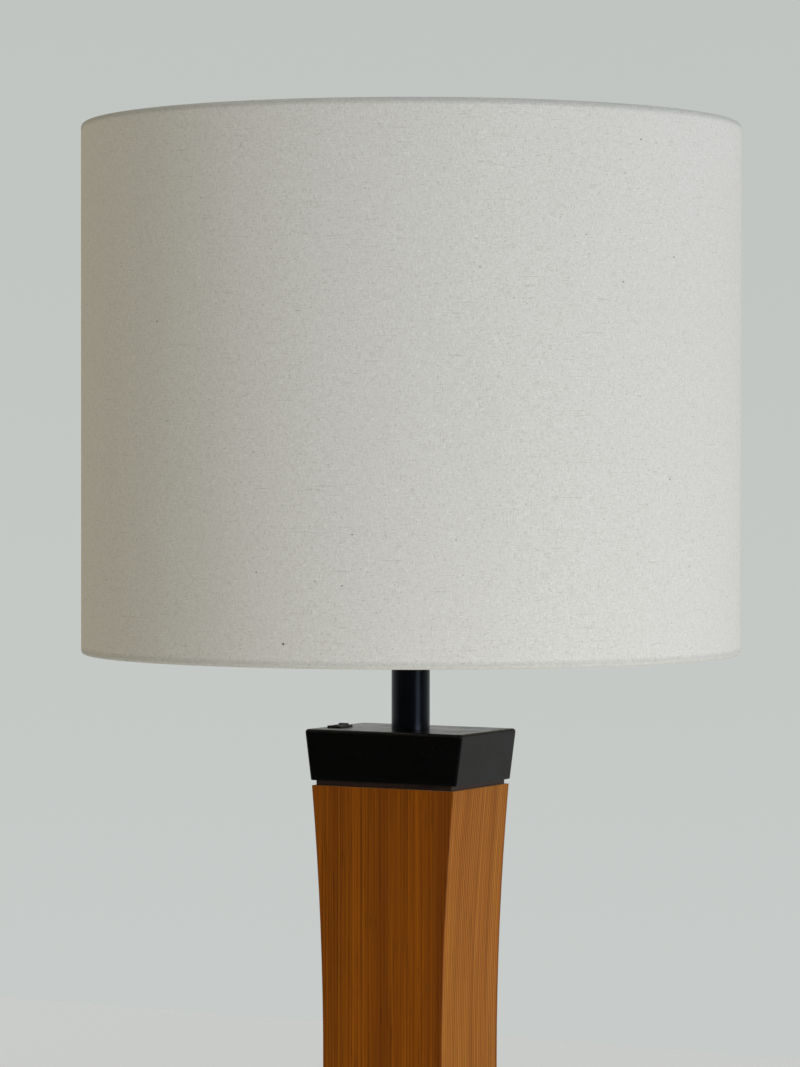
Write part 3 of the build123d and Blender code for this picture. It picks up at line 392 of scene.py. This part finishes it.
# Cast iron: dark grey, rough and pitted
CAST_IRON = metal("grey_cast_iron", "4C4C4E", 0.62, 1.4, 0.12)
# Spun aluminium: bright, with fine rings round it
CAP_METAL = metal("spun_aluminium_cap", "C9CACB", 0.28, 0.25, 0.008, "Z")

CORE = raw_board()
LACQUER = black_lacquer()
SPACER = stained_wood()
# The front and side are the same teak. Besides their different grain, the front's darker tones are
# partly painted shade and the side's lighter ones partly painted light from the window's side
SHADED_FRONT_VENEER = teak_veneer(
    "oiled_teak_front_painted_shade", across="X", line_mm=2.3, wander=8.0, line_strength=(0.12, 0.62),
    tones=("753A00", "814300", "8D4B00", "5E2C00", "A35C04", "4A2400"), seed=11.0,
)
LIT_SIDE_VENEER = teak_veneer(
    "oiled_teak_side_painted_light", across="Y", line_mm=2.2, wander=2.2, line_strength=(0.55, 0.95),
    tones=("8F5210", "985A16", "A36520", "733F0D", "B5772B", "542D0B"), seed=37.0,
)
FINISHES = {
    LACQUER: ["base_block", "cap_block"],
    SPACER: ["lower_spacer", "upper_spacer"],
    SHADED_FRONT_VENEER: ["veneer_front", "veneer_back"],
    LIT_SIDE_VENEER: ["veneer_left", "veneer_right"],
    CORE: ["foot_block", "head_block", "alignment_dowels", "board_front", "board_back",
           "board_left", "board_right"],
    STEEL_PLATE: ["base_cover"],
    CAST_IRON: ["ballast_block"],
    STEEL: ["tie_rod", "rod_washer", "rod_nut", "cover_screws", "terminal_screw",
            "switch_spring"],
    RUBBER: ["foot_pads", "cord_gland"],
    ENAMEL: ["stem_tube"],
    BLACK_PLASTIC: ["switch_housing", "stem_bushes", "holder_cup", "holder_shell",
                    "shade_ring"],
    GLOSS_PLASTIC: ["switch_rocker", "bulb_insulator"],
    WHITE_MOULDING: ["terminal_block", "switch_plunger", "holder_insert", "bulb_led_module"],
    BRASS: ["switch_lever", "switch_common_terminal", "switch_load_terminal",
            "holder_screw_shell", "holder_centre_contact", "holder_side_contact", "bulb_tip"],
    BROWN_SLEEVE: ["lead_live", "lead_switched"],
    BLUE_SLEEVE: ["lead_neutral"],
    liner_sheet(): ["shade_liner"],
    WHITE_WIRE: ["shade_bottom_ring", "shade_top_ring", "fitter_ring", "fitter_arms"],
    CAP_METAL: ["bulb_cap"],
    OPAL_GLASS: ["bulb_globe"],
}
for finish, names in FINISHES.items():
    for name in names:
        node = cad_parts[name]
        node.data.materials.clear()
        node.data.materials.append(finish)


# ---------------------------------------------------------------- modelling helpers
def drawn_profile(name, points):
    """A wire of (radius, height) points in the plane y = 0, drawn by extruding one vertex.

    It stays in edit mode."""
    bpy.ops.object.select_all(action="DESELECT")
    bpy.ops.mesh.primitive_plane_add(size=MM)
    piece = bpy.context.object
    piece.name = name
    piece.data.name = name
    bpy.ops.object.mode_set(mode="EDIT")
    bpy.ops.mesh.select_all(action="SELECT")
    bpy.ops.mesh.merge(type="CENTER")
    bpy.ops.transform.translate(value=(points[0][0], 0, points[0][1]))
    for start, end in zip(points, points[1:]):
        step = (end[0] - start[0], 0, end[1] - start[1])
        bpy.ops.mesh.extrude_vertices_move(TRANSFORM_OT_translate={"value": step})
    return piece


def turned(name, points, steps):
    """Spins a profile of (radius, height) points once round the lamp's axis."""
    piece = drawn_profile(name, points)
    bpy.ops.mesh.select_all(action="SELECT")
    bpy.ops.mesh.spin(steps=steps, angle=math.tau, center=(0, 0, 0), axis=(0, 0, 1))
    bpy.ops.mesh.select_all(action="SELECT")
    bpy.ops.mesh.remove_doubles(threshold=0.01 * MM)
    bpy.ops.mesh.normals_make_consistent(inside=False)
    bpy.ops.object.mode_set(mode="OBJECT")
    return piece


def chosen(piece):
    """Selects one piece alone."""
    bpy.ops.object.select_all(action="DESELECT")
    piece.select_set(True)
    bpy.context.view_layer.objects.active = piece


def edited(piece):
    """Opens a piece in edit mode with all of it selected."""
    chosen(piece)
    bpy.ops.object.mode_set(mode="EDIT")
    bpy.ops.mesh.select_all(action="SELECT")


def applied(piece, kind, **settings):
    """Adds a modifier to the piece and applies it."""
    chosen(piece)
    modifier = piece.modifiers.new(kind.lower(), kind)
    for key, value in settings.items():
        setattr(modifier, key, value)
    bpy.ops.object.modifier_apply(modifier=modifier.name)


def cut_away(piece, place, way):
    """Cuts off what lies beyond a plane, on the side that way points to, and closes the cut."""
    edited(piece)
    bpy.ops.mesh.bisect(plane_co=place, plane_no=way, use_fill=True, clear_outer=True)
    bpy.ops.object.mode_set(mode="OBJECT")


def copied(piece, name):
    """A copy with its own mesh."""
    twin = piece.copy()
    twin.data = piece.data.copy()
    twin.name = name
    twin.data.name = name
    scene.collection.objects.link(twin)
    return twin


def shifted(piece, value):
    """Moves a piece's mesh, so that its object stays at the origin."""
    edited(piece)
    bpy.ops.transform.translate(value=value)
    bpy.ops.object.mode_set(mode="OBJECT")


def joined(name, parts):
    """Joins parts into one piece."""
    bpy.ops.object.select_all(action="DESELECT")
    for part in parts:
        part.select_set(True)
    bpy.context.view_layer.objects.active = parts[0]
    bpy.ops.object.join()
    parts[0].name = name
    parts[0].data.name = name
    return parts[0]


def helical_ridge(name, radius, out_mm, up_mm, low_z, pitch, turns):
    """A rounded screw thread: an oval section wound up round the lamp's axis, closed at its ends.

    out_mm and up_mm are the half sizes of the section."""
    section_points = 8
    bpy.ops.object.select_all(action="DESELECT")
    bpy.ops.mesh.primitive_circle_add(
        vertices=section_points, radius=1.0, rotation=(math.pi / 2, 0, 0)
    )
    ridge = bpy.context.object
    ridge.name = name
    ridge.data.name = name
    ridge.scale = (out_mm * MM, up_mm * MM, 1)
    bpy.ops.object.transform_apply(location=False, rotation=True, scale=True)
    shifted(ridge, (radius, 0, low_z))
    steps_a_turn = 48
    applied(ridge, "SCREW", axis="Z", angle=math.tau, screw_offset=pitch, iterations=turns,
            steps=steps_a_turn, render_steps=steps_a_turn, use_smooth_shade=True)
    bpy.ops.object.mode_set(mode="EDIT")
    bpy.ops.mesh.select_all(action="SELECT")
    bpy.ops.mesh.fill_holes(sides=section_points)
    bpy.ops.mesh.select_all(action="SELECT")
    bpy.ops.mesh.normals_make_consistent(inside=False)
    bpy.ops.object.mode_set(mode="OBJECT")
    return ridge


def smoothed(piece, degrees):
    """Smooth shading that keeps edges sharper than the given angle."""
    chosen(piece)
    bpy.ops.object.shade_smooth_by_angle(angle=math.radians(degrees))


def finished(piece, material, body):
    """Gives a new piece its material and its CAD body."""
    piece.data.materials.clear()
    piece.data.materials.append(material)
    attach(piece, body)


# ---------------------------------------------------------------- linen shade
top_wire_low, top_wire_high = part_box("shade_top_ring")
low_wire_low, low_wire_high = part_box("shade_bottom_ring")
SHADE_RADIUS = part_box("shade_cover")[1].x
WIRE_RADIUS = (top_wire_high.z - top_wire_low.z) / 2
WIRE_CIRCLE = top_wire_high.x - WIRE_RADIUS
TOP_WIRE_Z = (top_wire_low.z + top_wire_high.z) / 2
LOW_WIRE_Z = (low_wire_low.z + low_wire_high.z) / 2
LINEN_THICKNESS = 0.6 * MM
COVER_MARGIN = 0.1 * MM        # keeps the cloth inside the cover that it replaces
HEM_RADIUS = SHADE_RADIUS - WIRE_CIRCLE - LINEN_THICKNESS / 2 - COVER_MARGIN
HEM_STEPS = 14
TOP_WRAP = math.radians(205)   # how far the cloth goes round each wire
LOW_WRAP = math.radians(170)
WALL_ROWS = 36
ROUND_STEPS = 256
LAP_WIDTH = 12 * MM
LAP_PAST_WIRES = 1.2 * MM      # up and down over the rolled rims
LAP_DEPTH = 2.2 * MM           # leaves out what lies further in, the rims' inner turns
GLUED_IN = 0.05 * MM           # the lap's inner face sinks into the cloth by this


def hem_points(wire_z, wrap, upward):
    """Points of the cloth's middle round a wire ring, from the inner end out to the wall."""
    angles = [wrap * (1 - i / HEM_STEPS) for i in range(HEM_STEPS + 1)]
    return [
        (
            WIRE_CIRCLE + HEM_RADIUS * math.cos(angle),
            wire_z + upward * HEM_RADIUS * math.sin(angle),
        )
        for angle in angles
    ]


def flat_map(piece):
    """A UV map in metres: round the drum, with the cloth's ends at the back, and up its height."""
    layer = piece.data.uv_layers.new(name="flat_cut")
    for polygon in piece.data.polygons:
        middle = math.atan2(polygon.center.x, -polygon.center.y)
        for loop in polygon.loop_indices:
            spot = piece.data.vertices[piece.data.loops[loop].vertex_index].co
            turn = math.atan2(spot.x, -spot.y) - middle
            turn = middle + (turn + math.pi) % math.tau - math.pi
            out = math.hypot(spot.x, spot.y) - WIRE_CIRCLE
            if spot.z > TOP_WIRE_Z or (out < 0 and spot.z > (LOW_WIRE_Z + TOP_WIRE_Z) / 2):
                wrap = math.atan2(spot.z - TOP_WIRE_Z, out) % math.tau
                up = TOP_WIRE_Z - LOW_WIRE_Z + wrap * HEM_RADIUS
            elif spot.z < LOW_WIRE_Z or out < 0:
                wrap = math.atan2(LOW_WIRE_Z - spot.z, out) % math.tau
                up = -wrap * HEM_RADIUS
            else:
                up = spot.z - LOW_WIRE_Z
            layer.data[loop].uv = (turn * SHADE_RADIUS, up)


def linen_shade():
    """One cloth round the drum, rolled in round the top and bottom wires."""
    top_hem = hem_points(TOP_WIRE_Z, TOP_WRAP, 1)
    low_hem = hem_points(LOW_WIRE_Z, LOW_WRAP, -1)[::-1]
    wall = [
        (top_hem[-1][0], TOP_WIRE_Z + (LOW_WIRE_Z - TOP_WIRE_Z) * i / WALL_ROWS)
        for i in range(1, WALL_ROWS)
    ]
    cloth = turned("linen_shade", top_hem + wall + low_hem, ROUND_STEPS)
    applied(cloth, "SOLIDIFY", thickness=LINEN_THICKNESS, offset=0.0)
    return cloth


LINEN = woven_linen(TOP_WIRE_Z - LOW_WIRE_Z)
linen = linen_shade()
flat_map(linen)
smoothed(linen, 60)
finished(linen, LINEN, "shade")
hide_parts("shade_cover")


def back_lap():
    """The cloth's end, glued over its start in a lap down the back of the drum."""
    lap = copied(linen, "linen_back_lap")
    cut_away(lap, (LAP_WIDTH / 2, 0, 0), (1, 0, 0))
    cut_away(lap, (-LAP_WIDTH / 2, 0, 0), (-1, 0, 0))
    cut_away(lap, (0, 0, TOP_WIRE_Z + LAP_PAST_WIRES), (0, 0, 1))
    cut_away(lap, (0, 0, LOW_WIRE_Z - LAP_PAST_WIRES), (0, 0, -1))
    cut_away(lap, (0, SHADE_RADIUS - LAP_DEPTH, 0), (0, -1, 0))
    shifted(lap, (0, LINEN_THICKNESS - GLUED_IN, 0))
    return lap


lap = back_lap()
smoothed(lap, 40)
finished(lap, LINEN, "shade")


# ---------------------------------------------------------------- welds
def weld_beads():
    """Painted weld beads: the arms on the fitter's ring, and the arms on the lower wire.

    One lumpy bead of each kind is made on the arm at the back, then spun to the other two."""
    arm_radius = 1.75 * MM
    arm_end_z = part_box("fitter_arms")[0].z + arm_radius
    ring_low, ring_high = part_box("fitter_ring")
    on_ring = (0, ring_high.x + 0.6 * MM, ring_low.z - 0.25 * MM)
    on_wire = (0, WIRE_CIRCLE - WIRE_RADIUS, (arm_end_z + LOW_WIRE_Z) / 2)
    lump_height = 0.25 * MM
    beads = []
    for place, half_sizes, seed in ((on_ring, (2.7, 2.2, 1.6), 3), (on_wire, (2.8, 2.2, 1.6), 8)):
        bpy.ops.object.select_all(action="DESELECT")
        bpy.ops.mesh.primitive_ico_sphere_add(subdivisions=4, radius=1.0)
        bead = bpy.context.object
        bead.scale = [size * MM for size in half_sizes]
        bpy.ops.object.transform_apply(location=False, rotation=False, scale=True)
        shifted(bead, place)
        edited(bead)
        bpy.ops.transform.vertex_random(offset=lump_height, normal=1.0, seed=seed)
        bpy.ops.mesh.vertices_smooth(factor=0.6, repeat=3)
        bpy.ops.mesh.spin(
            steps=2, dupli=True, angle=math.tau * 2 / 3, center=(0, 0, 0), axis=(0, 0, 1)
        )
        bpy.ops.object.mode_set(mode="OBJECT")
        beads.append(bead)
    return joined("shade_frame_welds", beads)


welds = weld_beads()
smoothed(welds, 60)
finished(welds, WHITE_WIRE, "shade")


# ---------------------------------------------------------------- threads and screws
def countersunk_screws():
    """Four countersunk screws with cross recesses, flush with the base cover."""
    low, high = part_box("cover_screws")
    cad_head_radius = 2.8 * MM
    place_x, place_y = high.x - cad_head_radius, high.y - cad_head_radius
    head_radius, head_height, head_edge = 2.75 * MM, 1.5 * MM, 0.1 * MM
    shank_radius, point_length = 1.35 * MM, 1.5 * MM
    recess_length, recess_width, recess_depth = 3.0 * MM, 0.65 * MM, 1.1 * MM
    profile = [
        (0, low.z), (head_radius - head_edge, low.z), (head_radius, low.z + head_edge),
        (shank_radius, low.z + head_height), (shank_radius, high.z - point_length), (0, high.z),
    ]
    screw = turned("countersunk_screw", profile, 32)
    arms = []
    for size_x, size_y in ((recess_length, recess_width), (recess_width, recess_length)):
        bpy.ops.object.select_all(action="DESELECT")
        bpy.ops.mesh.primitive_cube_add(size=1.0)
        arm = bpy.context.object
        arm.scale = (size_x, size_y, 2 * recess_depth)
        bpy.ops.object.transform_apply(location=False, rotation=False, scale=True)
        shifted(arm, (0, 0, low.z))
        arms.append(arm)
    for arm in arms:
        applied(screw, "BOOLEAN", object=arm, operation="DIFFERENCE", solver="EXACT")
        bpy.data.objects.remove(arm)
    screws = []
    for side_x, side_y in ((1, 1), (-1, 1), (-1, -1), (1, -1)):
        twin = copied(screw, "countersunk_screw_copy")
        shifted(twin, (side_x * place_x, side_y * place_y, 0))
        screws.append(twin)
    bpy.data.objects.remove(screw)
    return joined("cover_screws_cross_recess", screws)


screws = countersunk_screws()
smoothed(screws, 30)
finished(screws, STEEL, "base")
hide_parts("cover_screws")

holder_thread = helical_ridge(
    "holder_skirt_thread", radius=19.62 * MM, out_mm=0.42, up_mm=0.55,
    low_z=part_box("fitter_ring")[1].z + 1.0 * MM, pitch=2.0 * MM, turns=12,
)
finished(holder_thread, BLACK_PLASTIC, "base")

bulb_thread = helical_ridge(
    "bulb_cap_thread", radius=12.95 * MM, out_mm=0.42, up_mm=1.15,
    low_z=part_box("bulb_cap")[0].z + 2.2 * MM, pitch=3.6 * MM, turns=4,
)
finished(bulb_thread, CAP_METAL, "bulb")


def rubber_gland():
    """A moulded rubber bush in the back of the base: neck, grooved flange and rounded mouth.

    It is turned upright with its outer face at z = 0, then laid on its side."""
    low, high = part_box("cord_gland")
    deep = high.y - low.y
    flange_radius = (high.x - low.x) / 2
    flange_thickness = 1.5 * MM
    bore, neck = 3.2 * MM, 4.9 * MM
    groove_depth = 0.35 * MM
    rounded_edge = [
        (flange_radius, -0.7 * MM), (flange_radius - 0.25 * MM, -0.25 * MM),
        (flange_radius - 0.8 * MM, 0),
    ]
    groove = [
        (5.0 * MM, 0), (4.8 * MM, -groove_depth), (4.4 * MM, -groove_depth), (4.2 * MM, 0),
    ]
    rounded_mouth = [(3.7 * MM, -0.05 * MM), (bore + 0.1 * MM, -0.45 * MM), (bore, -1.0 * MM)]
    profile = [
        (bore, -deep), (neck, -deep), (neck, -flange_thickness), (flange_radius, -flange_thickness),
        *rounded_edge, *groove, *rounded_mouth, (bore, -deep),
    ]
    gland = turned("rubber_cord_bush", profile, 48)
    edited(gland)
    bpy.ops.transform.rotate(value=math.pi / 2, orient_axis="X", center_override=(0, 0, 0))
    bpy.ops.object.mode_set(mode="OBJECT")
    shifted(gland, ((low.x + high.x) / 2, high.y, (low.z + high.z) / 2))
    return gland


gland = rubber_gland()
smoothed(gland, 40)
finished(gland, RUBBER, "base")
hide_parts("cord_gland")


# ---------------------------------------------------------------- floor and light
# The room is bright and cool on the window's side, warm on the far side, and dimmest between
window_way = (to_right * 0.70 - to_back * 0.70 + Vector((0, 0, 0.05))).normalized()
WINDOW_PLACE = to_right * 2.04 - to_back * 2.04 + Vector((0, 0, 1.15))
WINDOW_AIM = Vector((0, 0, 0.5))
WINDOW_LIGHT = 1.33            # watts per square metre, from one side
WINDOW_SPREAD = 0.56           # radians: a 1.6 m window seen from 2.9 m
AMBIENT_STRENGTH = 1.10
ZENITH_SHARE = 0.45            # the ceiling is dimmer than the walls
BOUNCE_PLACE = to_right * 0.2 - to_back * 0.45 + Vector((0, 0, 0.01))
BOUNCE_WATTS = 1.8             # light that the floor in front of the lamp throws up
BOUNCE_SIZE = 0.5
FLOOR_SIZE = 40.0
# Where the wall meets the floor: metres from the camera to the back, and to the right
WALL_FOOT = ((4.249, -0.425), (3.809, 0.381))
FLOOR_LIFT = 0.19              # added to the floor for the eye alone, so that it lights nothing


def floor():
    """A pale plain floor, cut off straight behind the lamp where the room's wall would start."""
    wall_left, wall_right = [
        camera_place + to_back * back + to_right * right for back, right in WALL_FOOT
    ]
    wall_left.z = wall_right.z = 0
    bpy.ops.object.select_all(action="DESELECT")
    bpy.ops.mesh.primitive_plane_add(size=FLOOR_SIZE)
    ground = bpy.context.object
    ground.name = "studio_floor"
    bpy.ops.object.mode_set(mode="EDIT")
    bpy.ops.mesh.select_all(action="SELECT")
    out_of_room = (wall_right - wall_left).cross(Vector((0, 0, -1))).normalized()
    if out_of_room.dot(to_back) < 0:
        out_of_room.negate()
    bpy.ops.mesh.bisect(plane_co=wall_left, plane_no=out_of_room, clear_outer=True)
    bpy.ops.object.mode_set(mode="OBJECT")
    material, tree, shader = new_material("matt_pale_floor", "F0F4F6", Roughness=0.9)
    place = object_place(tree)
    cloud = stretched_noise(tree, place, (900.0, 900.0, 900.0), 1.0, 2.0)
    pale = ramp(tree, cloud, (0.3, "EEF2F4"), (0.7, "F3F7F9"))
    toward_camera = add_node(
        tree, "ShaderNodeVectorMath", {"operation": "DOT_PRODUCT", 1: tuple(-to_back)}, {0: place}
    ).outputs["Value"]
    path = add_node(tree, "ShaderNodeLightPath").outputs
    # The gloss sees the floor go dark towards the camera, where the room is dim
    darker = ranged(tree, toward_camera, -0.2, 0.5, 0.0, 0.92)
    dim = worked(tree, "MULTIPLY", darker, path["Is Glossy Ray"])
    tree.links.new(mixed(tree, dim, pale, linear("141414")), shader.inputs["Base Color"])
    shader.inputs["Emission Color"].default_value = linear("DAE8FF")
    tree.links.new(
        worked(tree, "MULTIPLY", path["Is Camera Ray"], FLOOR_LIFT),
        shader.inputs["Emission Strength"],
    )
    ground.data.materials.append(material)


def lit_by(name, kind, place, aim, power, colour, in_gloss=True):
    """A lamp at place, turned to aim, that is itself out of the camera's sight."""
    data = bpy.data.lights.new(name, kind)
    data.energy = power
    data.color = linear(colour)[:3]
    lamp = bpy.data.objects.new(name, data)
    lamp.location = place
    lamp.rotation_euler = (aim - lamp.location).to_track_quat("-Z", "Y").to_euler()
    lamp.visible_camera = False
    lamp.visible_glossy = in_gloss
    scene.collection.objects.link(lamp)
    return data


def studio_world():
    """Ambient light from all round, and a pale backdrop that the eye sees, also through glass.

    Gloss sees the backdrop's tone behind the lamp and a dim room on the camera's side."""
    world = bpy.data.worlds.new("pale_studio")
    scene.world = world
    world.use_nodes = True
    world.cycles.sampling_method = "NONE"    # keeps the ambient light out of the gloss
    tree = world.node_tree
    tree.nodes.clear()
    way = add_node(tree, "ShaderNodeTexCoord").outputs["Generated"]
    lit = add_node(
        tree, "ShaderNodeVectorMath", {"operation": "DOT_PRODUCT", 1: tuple(window_way)}, {0: way}
    ).outputs["Value"]
    room_light = ramp(
        tree, ranged(tree, lit, -1.0, 1.0, 0.0, 1.0),
        (0.0, "E8D3A6"), (0.5, "AEA78D"), (1.0, "ECF1FD"),
    )
    overhead = add_node(
        tree, "ShaderNodeVectorMath", {"operation": "DOT_PRODUCT", 1: (0, 0, 1)}, {0: way}
    ).outputs["Value"]
    dimmed = ranged(tree, overhead, 0.1, 1.0, AMBIENT_STRENGTH, AMBIENT_STRENGTH * ZENITH_SHARE)
    ambient = add_node(
        tree, "ShaderNodeBackground", links={"Color": room_light, "Strength": dimmed}
    )
    near_level = ranged(tree, overhead, -0.14, 0.14, 0.0, 1.0)
    wall = ramp(tree, near_level, (0.0, "C7CBC9"), (1.0, "C0C4C0"))
    backdrop = add_node(tree, "ShaderNodeBackground", {"Strength": 1.0}, {"Color": wall})
    behind = add_node(
        tree, "ShaderNodeVectorMath", {"operation": "DOT_PRODUCT", 1: tuple(to_back)}, {0: way}
    ).outputs["Value"]
    room = ramp(
        tree, ranged(tree, behind, -0.6, 0.6, 0.0, 1.0), (0.0, "303030"), (1.0, "C6C9C6")
    )
    reflected = add_node(tree, "ShaderNodeBackground", {"Strength": 1.0}, {"Color": room})
    path = add_node(tree, "ShaderNodeLightPath").outputs
    seen = worked(tree, "MAXIMUM", path["Is Camera Ray"], path["Is Transmission Ray"])
    gloss_or_not = add_node(
        tree, "ShaderNodeMixShader",
        links={0: path["Is Glossy Ray"], 1: ambient.outputs[0], 2: reflected.outputs[0]},
    )
    shown = add_node(
        tree, "ShaderNodeMixShader",
        links={0: seen, 1: gloss_or_not.outputs[0], 2: backdrop.outputs[0]},
    )
    add_node(tree, "ShaderNodeOutputWorld", links={"Surface": shown.outputs[0]})


floor()
window = lit_by("right_window", "SUN", WINDOW_PLACE, WINDOW_AIM, WINDOW_LIGHT, "F4F8FF")
window.angle = WINDOW_SPREAD
bounce = lit_by(
    "floor_bounce", "AREA", BOUNCE_PLACE, BOUNCE_PLACE + Vector((0, 0, 1)), BOUNCE_WATTS,
    "FFFBF2", in_gloss=False,
)
bounce.size = BOUNCE_SIZE
studio_world()
scene.view_settings.view_transform = "Standard"
